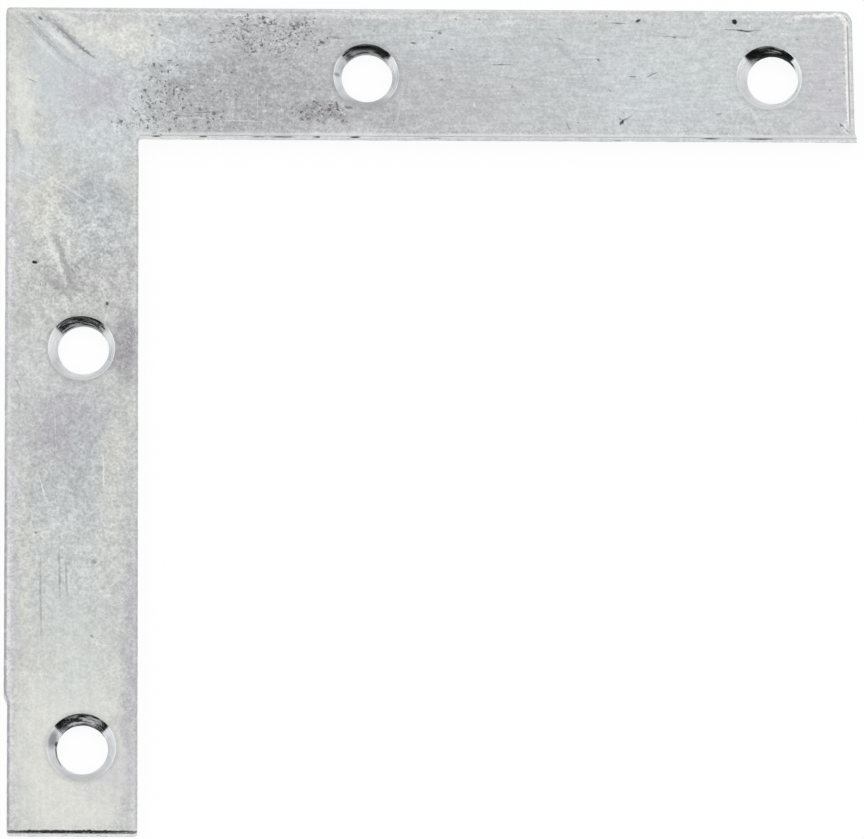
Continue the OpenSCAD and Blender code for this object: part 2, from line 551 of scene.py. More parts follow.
# %% Node group: soft patch
soft_patch, given, mask_out = new_group(
    "Soft patch",
    [("Place", "Vector", (0, 0, 0)), ("Centre", "Vector", (0, 0, 0)), ("Half size", "Vector", (1, 1, 1)),
     ("Turn", "Float", 0.0), ("Softness", "Float", 0.5), ("Strength", "Float", 1.0)])
away = vectors(soft_patch, "SUBTRACT", given["Place"], given["Centre"])
turned = turn_back(soft_patch, away, given["Turn"])
oval = vectors(soft_patch, "LENGTH", vectors(soft_patch, "DIVIDE", turned, given["Half size"]))
inside = ramp(soft_patch, oval, sums(soft_patch, "ADD", 1.0, given["Softness"]),
              sums(soft_patch, "SUBTRACT", 1.0, given["Softness"]))
feed(soft_patch, mask_out, times(soft_patch, inside, given["Strength"]))

# %% [markdown]
# Patches come in lists, and the masks of a list are laid over each other by taking the
# stronger one. A scratch, a pit or a streak is the same thing as a tint, only long and
# thin: an oval from one end to the other, which also tapers as a real scratch does.

# %% Lists of patches and marks
def patch(tree, place, centre, size, turn=0.0, softness=0.5, strength=1.0):
    """One soft patch; its centre and half size have two numbers if it lies on the face."""
    return place_group(tree, soft_patch, Place=place, Centre=(*centre, 0)[:3], Half_size=(*size, 1)[:3],
                       Turn=math.radians(turn), Softness=softness, Strength=strength)


def patches(tree, place, listed):
    """All patches of a list as one mask."""
    mask = 0.0
    for one in listed:
        mask = strongest(tree, mask, patch(tree, place, *one))
    return mask


def marks(tree, place, listed):
    """All marks of a list as one mask; each has a start, an end, a half width and a strength."""
    ovals = []
    for start, end, width, strength in listed:
        along = Vector(end) - Vector(start)
        size = (0.55 * along.length + 0.3 * width, 0.65 * width)
        turn = math.degrees(math.atan2(along.y, along.x))
        ovals.append(((Vector(start) + Vector(end)) / 2, size, turn, 0.5, strength))
    return patches(tree, place, ovals)


# %% [markdown]
# Cold-rolled strip carries a faint grain along its length. It is noise that has been
# stretched one way, and the same group gives both the grain and, with more stretch and a
# sharper cut, the fine hairline scratches that lie over it.

# %% Node group: drawn-out streaks
streaks, given, mask_out = new_group(
    "Streaks",
    [("Place", "Vector", (0, 0, 0)), ("Turn", "Float", 0.0), ("Along", "Float", 0.15),
     ("Across", "Float", 4.0), ("Cut low", "Float", 0.35), ("Cut high", "Float", 0.65)])
turned = turn_back(streaks, given["Place"], given["Turn"])
stretch = add(streaks, "ShaderNodeCombineXYZ")
feed(streaks, stretch.inputs[0], given["Along"])
feed(streaks, stretch.inputs[1], given["Across"])
stretch.inputs[2].default_value = 1.0
stretched = vectors(streaks, "MULTIPLY", turned, stretch.outputs[0])
streak_noise = cloud(streaks, vectors(streaks, "ADD", stretched, (0.31, 0.73, 0.37)), 1.0, 2.0, 0.55)
feed(streaks, mask_out, ramp(streaks, streak_noise, given["Cut low"], given["Cut high"]))

# %% [markdown]
# Specks are grime in the pores of the plating. They are islands of noise that stand out
# above a level, and the level falls where the grime is thick, so that specks grow and
# crowd together there instead of fading in.

# %% Node group: specks
specks, given, mask_out = new_group(
    "Specks", [("Place", "Vector", (0, 0, 0)), ("Grime", "Float", 0.5), ("Scale", "Float", 2.2)])
flattened = vectors(specks, "MULTIPLY", given["Place"], (0.95, 1.0, 1.0))
speck_noise = cloud(specks, flattened, given["Scale"], 1.4, 0.55)
level = ramp(specks, given["Grime"], 0.0, 1.0, 0.80, 0.55, smooth=False)
feed(specks, mask_out, ramp(specks, speck_noise, level, sums(specks, "ADD", level, 0.10)))

# %% [markdown]
# Pits are rounder than specks and stand alone. Scattered cells give each pit its own
# middle and its own chance, and where there is more grime the pits are larger.

# %% Node group: pits
pits, given, mask_out = new_group(
    "Pits", [("Place", "Vector", (0, 0, 0)), ("Grime", "Float", 0.5), ("Scale", "Float", 1.0)])
cells = add(pits, "ShaderNodeTexVoronoi")
feed(pits, cells.inputs["Vector"], given["Place"])
feed(pits, cells.inputs["Scale"], given["Scale"])
chance = split(pits, cells.outputs["Color"])[0]
spread = strongest(pits, sums(pits, "SUBTRACT", given["Grime"], chance), 0.001)
reach = times(pits, sums(pits, "POWER", spread, 0.5), 0.50)
feed(pits, mask_out, ramp(pits, cells.outputs["Distance"], reach, times(pits, reach, 0.5)))

# %% [markdown]
# Thin zinc crazes as it ages: fine lines wander over it, some paler than the plating and
# some darker. Where a smooth noise passes through its middle value it draws just such a
# line, so the group measures how near to the middle the noise is.

# %% Node group: crazing
crazing, given, mask_out = new_group(
    "Crazing", [("Place", "Vector", (0, 0, 0)), ("Scale", "Float", 1.5), ("Width", "Float", 0.02)])
off_middle = sums(crazing, "SUBTRACT", cloud(crazing, given["Place"], given["Scale"]), 0.5)
feed(crazing, mask_out, ramp(crazing, sums(crazing, "ABSOLUTE", off_middle), given["Width"], 0.0))

# %% [markdown]
# The last helpers belong to whole materials: where on the plate a point lies, how noise
# pushes that place about, what the skin kept at its points, and small relief.

# %% Helpers for materials
def place_in_mm(tree):
    """The point being shaded, in millimetres in the plate's own frame."""
    return vectors(tree, "SCALE", add(tree, "ShaderNodeTexCoord").outputs["Object"], scale=1 / MM)


def slant(tree, place):
    """The place on tipped axes, so that no face lies along the lattice of a noise."""
    made = add(tree, "ShaderNodeVectorRotate", rotation_type="EULER_XYZ")
    feed(tree, made.inputs["Vector"], place)
    made.inputs["Rotation"].default_value = (0.52, 0.83, 0.31)
    return made.outputs[0]


def push_from(tree, place, scale, detail):
    """A push that changes its way from place to place, from the colours of a noise."""
    return vectors(tree, "SUBTRACT", cloud(tree, place, scale, detail, 0.6, "Color"), (0.5, 0.5, 0.5))


def pushed(tree, place, push, reach, flat=True):
    """The place pushed about, which makes borders ragged; flat puts it on the face's plane."""
    place = vectors(tree, "ADD", place, vectors(tree, "SCALE", push, scale=reach))
    return vectors(tree, "MULTIPLY", place, (1, 1, 0)) if flat else place


def kept(tree, name):
    """A number that the skin keeps at its points."""
    return add(tree, "ShaderNodeAttribute", attribute_name=name).outputs["Fac"]


def bend_light(tree, metal, height, strength, depth):
    """Small relief: it tips the surface, and its depth is in millimetres."""
    relief = add(tree, "ShaderNodeBump")
    feed(tree, relief.inputs["Strength"], strength)
    relief.inputs["Distance"].default_value = depth * MM
    feed(tree, relief.inputs["Height"], height)
    feed(tree, metal.inputs["Normal"], relief.outputs[0])


def new_material(name):
    material = bpy.data.materials.new(name)
    material.use_nodes = True
    tree = material.node_tree
    return material, tree, tree.nodes["Principled BSDF"]


# %% [markdown]
# The plated face. Thin bright zinc takes faint tints where the bath or the years left
# them: warm white, lilac, blue-grey. They are listed as patches over a plain grey, each
# with its centre and half size in millimetres on the plate. The top arm is painted a cooler
# and darker grey than the side arm, as painted shade, because its grain lies across the
# light. One dusky patch on the side arm is painted shade beside a dent.

# %% Tints of the plated face
PLAIN_ZINC = colour(0.785, 0.792, 0.784)
WARM, CREAM = colour(0.825, 0.825, 0.80), colour(0.872, 0.875, 0.848)
COOL, SEA, SLATE = colour(0.805, 0.83, 0.84), colour(0.80, 0.822, 0.815), colour(0.715, 0.735, 0.748)
LILAC, MAUVE, DUSK = colour(0.785, 0.775, 0.80), colour(0.725, 0.718, 0.742), colour(0.65, 0.64, 0.655)
GREY, DARK_GREY = colour(0.78, 0.79, 0.796), colour(0.685, 0.69, 0.70)

TINTS = [
    # colour, centre, half size, turn in degrees, softness, strength
    # painted shade: the top arm's cooler, darker grey, for grain that lies across the light
    (GREY, (57, 0), (48.5, 14), 0, 0.03, 0.95),
    (DARK_GREY, (19, -3.2), (12, 5.6), 0, 0.45, 0.85),
    (DARK_GREY, (25, 3.4), (12, 4.6), -8, 0.6, 0.5),
    (COOL, (10.8, 3.2), (4.4, 3), -20, 0.6, 0.55),
    (COOL, (3, -4.2), (6.2, 7), 0, 0.45, 0.9),
    (COOL, (-2.6, 0.4), (3, 5.4), -14, 0.6, 0.8),
    (CREAM, (4.4, 4.4), (5.2, 2.2), -6, 0.6, 0.85),
    (CREAM, (-6, -3.5), (1.5, 7.5), 4, 0.5, 0.8),
    (LILAC, (2.8, 6.4), (3, 0.9), -4, 0.6, 0.6),
    (LILAC, (2.8, -3.4), (2.9, 2.7), 0, 0.6, 0.95),
    (MAUVE, (2.6, -3.4), (3.4, 3), 0, 0.8, 0.28),
    (SLATE, (-0.4, 0.6), (6, 4), -40, 0.8, 0.22),
    (WARM, (-3.8, -15.5), (3.4, 5), 20, 0.6, 0.9),
    (COOL, (-5.2, -11.5), (2.2, 2.6), 20, 0.6, 0.6),
    (SLATE, (2.9, -15.4), (3.5, 2.5), -14, 0.5, 0.95),
    (COOL, (3, -19.2), (4, 3.4), -20, 0.7, 0.45),
    # painted shade beside the lower end of the dent on the side arm
    (DUSK, (-0.9, -25.6), (2.4, 1.7), -30, 0.7, 0.6),
    (DUSK, (6.6, -33.4), (1.7, 4.2), 0, 0.5, 1),
    (DUSK, (4.4, -24.5), (3.2, 6), 0, 0.7, 0.22),
    (SEA, (-4.6, -35.5), (2.2, 4), 0, 0.7, 0.4),
    (SLATE, (0.4, -52.5), (5, 3.6), 0, 0.6, 0.6),
    (MAUVE, (-0.9, -43.6), (4.4, 4.4), -8, 0.6, 0.9),
    (SLATE, (2.4, -46), (2.4, 6.4), -12, 0.7, 0.5),
    (WARM, (5, -45.5), (1.3, 2.6), 0, 0.6, 0.8),
    (WARM, (5.2, -54), (2, 7), 0, 0.6, 0.5),
    (SEA, (0, -62), (4.8, 10.5), 0, 0.5, 0.55),
    (WARM, (-5.6, -64), (1.2, 12), 0, 0.6, 0.5),
    (CREAM, (0, -82.5), (7.2, 12), 0, 0.4, 0.85),
    (SEA, (0.8, -74), (3.2, 3.6), 0, 0.7, 0.55),
    (MAUVE, (7.2, -72), (1.1, 20), 0, 0.7, 0.75),
    (LILAC, (4.6, -85), (3, 2.6), 30, 0.7, 0.55),
    (LILAC, (-7.1, -60), (0.55, 30), 0, 0.7, 0.7),
    (LILAC, (-7.1, -22), (0.6, 16), 0, 0.7, 0.7),
    (COOL, (47, 3.6), (11, 3), 0, 0.6, 0.35),
    (COOL, (70, -1), (12, 6), 0, 0.6, 0.6),
    (SEA, (78, 3), (8, 4.5), 0, 0.6, 0.5),
    (LILAC, (89, -1.5), (2.6, 6), 0, 0.6, 0.6),
    (DARK_GREY, (42.5, -3), (6, 5.5), 0, 0.8, 0.45),
    (DUSK, (29, -4.8), (3.6, 1), -3, 0.6, 0.85),
    (DARK_GREY, (55, -2), (8, 7), 0, 0.7, 0.18),
    (DUSK, (35.6, -5.4), (4.4, 1.3), 0, 0.6, 0.5),
    (WARM, (52, 7), (24, 0.6), 0, 0.7, 0.35),
]
print(f"{len(TINTS)} tints on the plated face")

# %% [markdown]
# The marks that someone holding the brace would point at. Dark ones are pits where the
# plating is broken and thin lines of dirt, and one is a painted shade line along the end
# of the side arm; light ones show fresh metal; shines are painted highlights along the
# rolled edge and the dents, and smears are wide grey rubs with ragged sides, some of them
# painted shade beside the dents. Small as they are, they make this one brace and not
# another. Each is a line on the plate, in mm.

# %% Marks on the plated face
DARK_MARKS = [
    # start, end, width, strength
    # in the corner
    ((-3.95, 6.5), (-3.6, 6.3), 0.24, 0.7), ((-5.2, -1), (-4.4, -1.4), 0.12, 0.45),
    ((-5.1, 0.6), (-5, 0.5), 0.10, 0.3), ((-1.7, 5.4), (0.5, 3.2), 0.16, 0.30),
    ((0.6, 3.2), (2.4, 1.7), 0.20, 0.35), ((-5.6, 6.8), (-1.2, 2.2), 0.12, 0.28),
    # on the side arm, above its first hole
    ((-4.55, -23.4), (-4.2, -23.4), 0.31, 1.6), ((4.12, -28.3), (4.2, -28.5), 0.28, 0.9),
    ((0, -24.2), (0.1, -24.5), 0.18, 0.5),
    # between its holes
    ((-4.2, -56.1), (-4.05, -56.2), 0.18, 0.6), ((2.5, -59.55), (2.8, -59.8), 0.40, 0.4),
    ((2.35, -68.6), (2.5, -68.7), 0.16, 0.55), ((-5, -52.6), (-4.9, -52.7), 0.14, 0.4),
    ((-6.2, -40.6), (-6.1, -40.7), 0.13, 0.5), ((-6.75, -37.3), (-5.95, -38.8), 0.10, 0.4),
    ((-3.6, -60.2), (-3.5, -68), 0.22, 0.26), ((-1.4, -58.6), (-1.3, -63.8), 0.20, 0.30),
    ((-0.6, -60), (-0.5, -63.6), 0.18, 0.26),
    # and below: a painted shade line along the rolled edge at the end of the side arm
    ((-7.2, -92.04), (7.5, -92.04), 0.26, 1.2),
    # on the top arm, before its first hole
    ((10.2, 5.7), (10.4, 5.6), 0.15, 0.6), ((9.2, 4.4), (9.5, 4.35), 0.16, 0.6),
    ((8.4, -2.4), (8.7, -2.3), 0.26, 0.8), ((11.3, 1.3), (11.6, 1.3), 0.18, 0.7),
    ((16.2, 3.6), (16.9, 3.5), 0.13, 0.6), ((13.9, -5.1), (17.4, -5), 0.12, 0.35),
    ((30.3, 4.3), (31.4, 4.15), 0.22, 0.4),
    # between its holes
    ((66.7, 6.35), (67.05, 6.6), 0.26, 1), ((63.6, 6.15), (65.3, 6.1), 0.12, 0.6),
    ((64.75, -6.2), (65.05, -5.8), 0.25, 1), ((65.05, -5.8), (66.1, -5.2), 0.09, 0.6),
    ((64.5, -5.5), (64.9, -5.75), 0.09, 0.6), ((62, 1.75), (62.2, 1.5), 0.19, 0.7),
    ((65.8, -0.4), (66.6, -0.45), 0.13, 0.6), ((67.9, -0.4), (69, 0.1), 0.11, 0.55),
    ((57.4, 4.2), (58, 4), 0.10, 0.5), ((49.7, 1), (51.8, 0.95), 0.10, 0.6),
    ((68.4, 4.6), (72.8, 4.45), 0.05, 0.45), ((45.2, 6.56), (45.4, 6.5), 0.18, 0.55),
    ((48, 6.6), (48.2, 6.5), 0.16, 0.55), ((43.3, 4.85), (43.5, 4.8), 0.20, 0.65),
    ((42.4, 4.3), (42.6, 4.2), 0.14, 0.6), ((40, 3.6), (40.6, 3.5), 0.13, 0.7),
    ((43.5, -0.9), (43.7, -0.95), 0.18, 0.5), ((44.7, 2.9), (44.9, 2.8), 0.16, 0.7),
    ((41.5, 5.06), (43.7, 5.08), 0.08, 0.5), ((32.2, -4.3), (33, -4.45), 0.26, 0.6),
    ((71, 4.45), (71.3, 4.4), 0.16, 0.6), ((61.7, 6.2), (61.9, 6.1), 0.13, 0.5),
    ((63, 7.05), (63.2, 7), 0.16, 0.6), ((63.4, -2.1), (63.6, -2.2), 0.16, 0.35),
    ((58.4, -6.2), (58.7, -6.9), 0.14, 0.4),
    # and at its end
    ((78.15, 6.5), (78.4, 6.25), 0.38, 1.9), ((77, 5.45), (78.8, 5.36), 0.09, 0.6),
    ((78.4, 5.36), (80.2, 5.2), 0.14, 0.9), ((80, 5.22), (81.2, 5.4), 0.08, 0.5),
    ((85.6, 4.3), (85.85, 4.3), 0.13, 0.5), ((89.4, -2), (89.65, -1.9), 0.15, 0.5),
    ((76.1, -5), (76.6, -4.9), 0.14, 0.5), ((91.2, 0.1), (91.2, 0.3), 0.13, 0.5),
    ((91.3, 2.9), (91.3, 3.1), 0.13, 0.5),
]
LIGHT_MARKS = [
    # in the corner
    ((-5, 4.6), (-1.5, 1.1), 0.30, 0.35), ((-2.2, 7.1), (0.4, 6.2), 0.40, 0.55),
    ((-2.6, 4.7), (-0.1, 2.4), 0.20, 0.5), ((-6.4, 6.4), (-3, 3), 0.10, 0.5),
    # on the side arm, above its first hole
    ((-5.6, -11), (3.6, -17), 0.10, 0.45), ((-6.1, -12.2), (-4.6, -12.9), 0.16, 0.5),
    # between its holes
    ((3.75, -47.3), (3.8, -50.6), 0.15, 0.75), ((-3.6, -50), (-3, -52.2), 0.14, 0.65),
    ((-4, -56), (5, -53), 0.06, 0.35), ((1, -62), (5.5, -57.5), 0.07, 0.4),
    ((2, -66), (6, -61), 0.06, 0.35), ((-2.6, -53), (1.8, -59.5), 0.06, 0.3),
    ((-4.4, -64.6), (0.4, -67.4), 0.06, 0.3), ((-2, -41.5), (-1.8, -46), 0.07, 0.4),
    ((0.2, -46.6), (3, -44.2), 0.07, 0.4),
    # on the top arm, before its first hole
    ((10.2, 4.3), (12.6, 3.2), 0.13, 0.75), ((13.5, -5.7), (17.4, -5.75), 0.10, 0.5),
    ((18.4, -6), (22.3, -6.1), 0.10, 0.5), ((21.9, -2.6), (21.8, -5.4), 0.09, 0.4),
    # between its holes
    ((38.9, -2.6), (38.3, -6.4), 0.09, 0.3), ((64.3, -4.2), (67.4, -4.4), 0.09, 0.5),
    ((59.8, 1.9), (62, 1.95), 0.09, 0.5), ((61.6, 3.9), (61.6, 2.4), 0.06, 0.4),
    ((47.4, -3.8), (47.5, -4.2), 0.20, 0.75),
]
# painted highlights, mostly along the rolled edge, and along two dents
HIGHLIGHT_MARKS = [
    ((84.8, 6.6), (86.6, 7.1), 0.24, 0.8), ((87.6, 7.1), (90.8, 7.3), 0.24, 1),
    ((90.6, 7.4), (91.7, 6), 0.26, 1), ((91, -6.2), (91.6, -7.2), 0.40, 0.8),
    ((33, 6.7), (38, 6.7), 0.24, 0.6), ((43.5, 6.6), (46.2, 6.7), 0.20, 0.5),
    ((50.2, 5.9), (52.4, 6.3), 0.30, 0.6), ((49, 4.6), (51.5, 4.9), 0.24, 0.45),
    ((18, 6.9), (21.5, 6.8), 0.22, 0.7), ((9, 7), (14, 6.9), 0.22, 0.6),
    ((-7, -20.6), (-6.9, -21.2), 0.26, 0.9), ((-3.3, -19.2), (-0.9, -25.4), 0.44, 0.7),
    ((-0.9, -27.8), (-0.5, -29.6), 0.26, 0.5), ((-3.2, 5.6), (0.2, 2.2), 0.50, 0.45),
]
# grey rubs, and painted shade beside the dents
SMEARS_AND_DENT_SHADE = [
    ((-6.1, 7.1), (-3.6, 4.2), 0.24, 0.5), ((-4, 4.6), (-1.3, 1.9), 0.24, 0.6),
    ((-1.6, 2.1), (2, -0.5), 0.22, 0.4), ((-5.7, 5.6), (-4.1, 3.9), 0.34, 0.3),
    ((-3.9, 7.3), (-1.8, 5.4), 0.34, 0.55), ((-2.1, 5.8), (0.9, 2.9), 0.62, 0.8),
    ((0.5, 3.3), (2.5, 1.7), 0.30, 0.8), ((-6.9, -7.2), (-5.9, -9.6), 0.34, 0.45),
    # painted shade beside the dent on the side arm
    ((-1.8, -20.4), (-0.1, -25.6), 0.46, 0.65), ((-3.7, -24.6), (-0.6, -27.2), 0.60, 0.40),
    ((56, 4.6), (59.8, 1), 0.34, 0.35), ((59.8, 1), (61.2, -2.4), 0.26, 0.35),
    ((37.6, -3), (39.2, -5.6), 0.30, 0.3),
]
print(f"{len(DARK_MARKS)} dark marks, {len(LIGHT_MARKS)} light ones, "
      f"{len(HIGHLIGHT_MARKS)} shines, {len(SMEARS_AND_DENT_SHADE)} smears")

# %% [markdown]
# The rest is listed in the same way: fine lines from wiping and grime in the pores, which
# the press and the years left, and where the rolled edge carries its painted shade and
# painted highlights along its length. A painted shade ring lies on the face round each
# rim, plainer at some holes than at others.

# %% Grime, rolled edge and rims
HAIRLINES = [
    # turn, then how stretched along and across, then how few
    (0.65, 0.16, 5, 0.66), (-0.75, 0.14, 4.6, 0.665), (1.35, 0.18, 5.4, 0.67), (-1.15, 0.2, 4.8, 0.67),
]
GRIME = [
    # where grime sits in the pores: centre, half size, turn in degrees, softness, strength
    ((50, 0), (42, 8), 0, 0.3, 0.13),
    ((0, -40), (8, 52), 0, 0.2, 0.09),
    ((16.5, -3.2), (9.5, 4.8), 0, 0.5, 0.5),
    ((11, -2.8), (4, 4.8), 0, 0.6, 0.8),
    ((24, 4.5), (7.2, 2.8), -6, 0.4, 0.88),
    ((28.6, -4.7), (4.4, 1.2), -3, 0.6, 0.9),
    ((14.6, -4.9), (3.4, 0.8), 0, 0.7, 0.8),
    ((8, -6.4), (3.4, 1.6), 0, 0.6, 0.9),
    ((43, 1.6), (5, 5), 0, 0.7, 0.26),
    ((-3, -15.8), (4, 4.4), 30, 0.7, 0.2),
    ((52.6, -2.4), (2.4, 1.6), 0, 0.7, 0.36),
    ((71.5, 4), (2.2, 0.7), 0, 0.7, 0.36),
]

CUT_END = ((92, 0.6), (2.4, 7), 0, 0.1, 1)      # the rolled edge at the cut end of the top arm
EDGE_HIGHLIGHTS = [
    # where the rolled edge carries a painted highlight: centre, half size, turn, softness, strength
    CUT_END,
    ((88.4, 7.2), (4.6, 2), 0, 0.3, 1.3),
    ((20, 7.5), (28, 1.8), 0, 0.2, 0.5),
    ((66, 7.5), (24, 1.8), 0, 0.2, 0.3),
    ((-7.6, -30), (1.2, 26), 0, 0.3, 0.35),
    ((-7.6, -66), (1.2, 16), 0, 0.3, 0.8),
    ((7.6, -90), (1.2, 3), 0, 0.5, 0.6),
]
EDGE_SHADE_LINES = [
    # where its painted shade line, at the turn of the edge, is plain to see
    ((-7.8, -20), (1.2, 34), 0, 0.15, 0.5),
    ((-7.8, -72), (1.6, 26), 0, 0.2, 1),
    ((42, 7.8), (54, 1.2), 0, 0.05, 0.22),
    ((7.8, -50), (1.2, 46), 0, 0.1, 0.35),
]
WIDE_ROLL = [
    # where the edge is rolled over more widely
    ((44, 7.8), (44, 2.2), 0, 0.1, 1),
]
LIP_HIGHLIGHTS = [
    # where a painted highlight keeps the lip pale right up to the cut
    ((50, -7.8), (44, 1.2), 0, 0.05, 1),
    ((0, -92.2), (9, 1.2), 0, 0.1, 0.5),
    ((42, 7.8), (48, 0.3), 0, 0.5, 0.6),
]
CALM = [
    # where the plating is smooth
    ((-2, 0), (5.5, 7.5), 0, 0.5, 0.45),
    ((-6.2, -6), (1.6, 9), 0, 0.5, 0.55),
    ((0, -84), (7.6, 11), 0, 0.4, 0.65),
    ((-1, -70), (6, 6), 0, 0.6, 0.35),
    ((88, 0), (7, 8), 0, 0.6, 0.5),
    ((60, 0), (26, 8), 0, 0.3, 0.3),
]
LIVELY = [
    # where it is grainy
    ((1, -23), (7, 8), 0, 0.6, 0.6),
    ((0, -52), (7, 9), 0, 0.7, 0.25),
    ((19, -1), (12, 8), 0, 0.6, 0.25),
]
# painted shade ring round each rim: its strength at each hole, and its width
RIM_SHADE = {"top_near_hole": 0.7, "top_far_hole": 0.3, "side_near_hole": 0.65, "side_far_hole": 0.45}
RIM_SHADE_WIDTH = 0.32

# %% [markdown]
# The plated face is put together from below: the tints, a mottle and the rolled grain,
# then crazing and rubs with painted shade beside the dents, painted shade rings round the
# rims, painted shade and painted highlights along the rolled edge, painted highlights and
# bright scratches, and dirt last, with painted glints by the pits. Specks, pits and dark
# marks are dirt, save one dark line that is painted shade, so they lose the metal's shine
# as well as its colour. The fine grain also bends the light, less so where the plating is
# calm, and the rolled edge is the smoothest, as the tool burnished it.

# %% Material: plated face
plated, tree, metal = new_material("zinc plated face")
place = place_in_mm(tree)
slanted = slant(tree, place)
push = push_from(tree, slanted, 0.33, 3.0)
fine_push = push_from(tree, slanted, 2.6, 2.0)
ragged = pushed(tree, pushed(tree, place, push, 5.5, flat=False), fine_push, 1.5)
nearly = pushed(tree, place, fine_push, 0.30)
smeared = pushed(tree, place, fine_push, 1.3)

tone = PLAIN_ZINC
for tint, *oval in TINTS:
    tone = blend(tree, patch(tree, ragged, *oval), tone, tint)

# mottle and rolled grain, as one shade over the tints
top_arm = patch(tree, ragged, (55, 0), (45, 14), softness=0.08)
broad = ramp(tree, cloud(tree, slanted, 0.9, 3.0, 0.65), 0.3, 0.7, 0.90, 1.08)
grains = cloud(tree, slanted, 2.8, 3.0, 0.7)
pores = ramp(tree, grains, 0.3, 0.7, 0.84, 1.13)
roll_top = place_group(tree, streaks, Place=nearly, Turn=0.0, Along=0.34, Across=3.4,
                       Cut_low=0.32, Cut_high=0.68)
roll_side = place_group(tree, streaks, Place=nearly, Turn=math.pi / 2, Along=0.16, Across=1.8,
                        Cut_low=0.3, Cut_high=0.7)
roll = between(tree, top_arm, ramp(tree, roll_side, 0.0, 1.0, 0.965, 1.02, smooth=False),
               ramp(tree, roll_top, 0.0, 1.0, 0.93, 1.045, smooth=False))
liveliness = sums(tree, "SUBTRACT", patches(tree, ragged, LIVELY), patches(tree, ragged, CALM))
liveliness = sums(tree, "ADD", liveliness, 1.0)
shade = times(tree, sums(tree, "SUBTRACT", times(tree, broad, pores), 1.0), liveliness)
shade = times(tree, sums(tree, "ADD", shade, 1.0), roll)
tone = blend(tree, 1.0, tone, shade, "MULTIPLY")

# crazing, wiped lines, rubs with painted shade beside the dents, and painted shade rings round the rims
crackle = place_group(tree, crazing, Place=slanted, Scale=1.05, Width=0.018)
dark_crackle = place_group(tree, crazing, Place=vectors(tree, "ADD", slanted, (31, 17, 5)),
                           Scale=1.7, Width=0.018)
hairlines = 0.0
for turn, along, across, low_cut in HAIRLINES:
    hairlines = strongest(tree, hairlines, place_group(
        tree, streaks, Place=nearly, Turn=turn, Along=along, Across=across,
        Cut_low=low_cut, Cut_high=low_cut + 0.07))
rubs_and_dent_shade = marks(tree, smeared, SMEARS_AND_DENT_SHADE)
rim_shade = patches(tree, nearly, [((cone.x, cone.y), (rim_r + RIM_SHADE_WIDTH,) * 2, 0, 0.06, RIM_SHADE[name])
                               for name, (cone, rim_r, *_) in holes.items()])
tone = lay(tree, tone,
           (dark_crackle, 0.22, (0.60, 0.60, 0.61)),
           (crackle, 0.36, (0.92, 0.925, 0.92)),
           (hairlines, 0.20, (0.95, 0.95, 0.945)),
           (rubs_and_dent_shade, 0.85, (0.58, 0.58, 0.595)),
           (rim_shade, 0.6, (0.58, 0.58, 0.60)))

# the rolled edge: a painted shade line where it turns down, a painted highlight band along
# it, and a painted highlight that keeps the lip pale up to the cut
edge = sums(tree, "SUBTRACT", kept(tree, "edge_gap"), times(tree, patches(tree, nearly, WIDE_ROLL), 0.36))
ragged_edge = sums(tree, "ADD", edge, times(tree, split(tree, fine_push)[0], 0.7))
line_breaks = ramp(tree, cloud(tree, slanted, 1.3, 2.0), 0.30, 0.50, 0.35, 1.0)
painted_edge_shade = times(tree, ramp(tree, edge, 0.42, 0.16), line_breaks, patches(tree, nearly, EDGE_SHADE_LINES))
band_breaks = ramp(tree, cloud(tree, slanted, 1.5, 3.0, 0.6), 0.36, 0.58, 0.1, 1.0)
painted_edge_highlight = times(tree, ramp(tree, ragged_edge, 0.25, 0.45), ramp(tree, ragged_edge, 0.95, 0.60),
                    band_breaks, patches(tree, nearly, EDGE_HIGHLIGHTS))
lip = times(tree, ramp(tree, edge, 0.45, 0.15), patches(tree, nearly, LIP_HIGHLIGHTS))

# along the cut end of the top arm the painted highlight band is brightest, with a painted shade line
# outside it
end_band = patch(tree, nearly, *CUT_END)
end_breaks = ramp(tree, cloud(tree, slanted, 2.2, 2.0, 0.6), 0.35, 0.6, 0.5, 1.0)
end_highlight = times(tree, ramp(tree, edge, 0.62, 0.72), ramp(tree, ragged_edge, 1.02, 0.86),
                   end_band, end_breaks)
end_shade_line = times(tree, ramp(tree, edge, 0.40, 0.50), ramp(tree, edge, 0.72, 0.60), end_band)
# painted highlights along the rolled edge and the dents
highlight_marks = marks(tree, smeared, HIGHLIGHT_MARKS)
light_lines = marks(tree, nearly, LIGHT_MARKS)
tone = lay(tree, tone,
           (painted_edge_shade, 0.75, (0.56, 0.565, 0.585)),
           (lip, 0.5, (0.95, 0.95, 0.95)),
           (painted_edge_highlight, 0.55, (0.94, 0.935, 0.94)),
           (end_highlight, 1.0, (0.95, 0.94, 0.94)),
           (end_shade_line, 0.75, (0.62, 0.605, 0.58)),
           (highlight_marks, 0.75, (0.94, 0.94, 0.935)),
           (light_lines, 0.75, (0.95, 0.95, 0.94)))

# grime: specks of two sizes and pits, with a painted glint on the lit side of each pit
grime = patches(tree, ragged, GRIME)
speckle = place_group(tree, specks, Place=slanted, Grime=grime, Scale=1.9)
fine_speckle = place_group(tree, specks, Place=vectors(tree, "ADD", slanted, (7, 3, 1)),
                           Grime=grime, Scale=3.6)
pit_place = pushed(tree, slanted, fine_push, 0.9, flat=False)
lit_side = vectors(tree, "ADD", pit_place, (0.2, 0.16, 0.2))
pit = place_group(tree, pits, Place=pit_place, Grime=grime, Scale=1.7)
speckle = strongest(tree, times(tree, strongest(tree, speckle, fine_speckle), 0.7), pit)
glints = times(tree, place_group(tree, pits, Place=lit_side, Grime=grime, Scale=1.7),
               sums(tree, "SUBTRACT", 1.0, speckle, clamp=True))
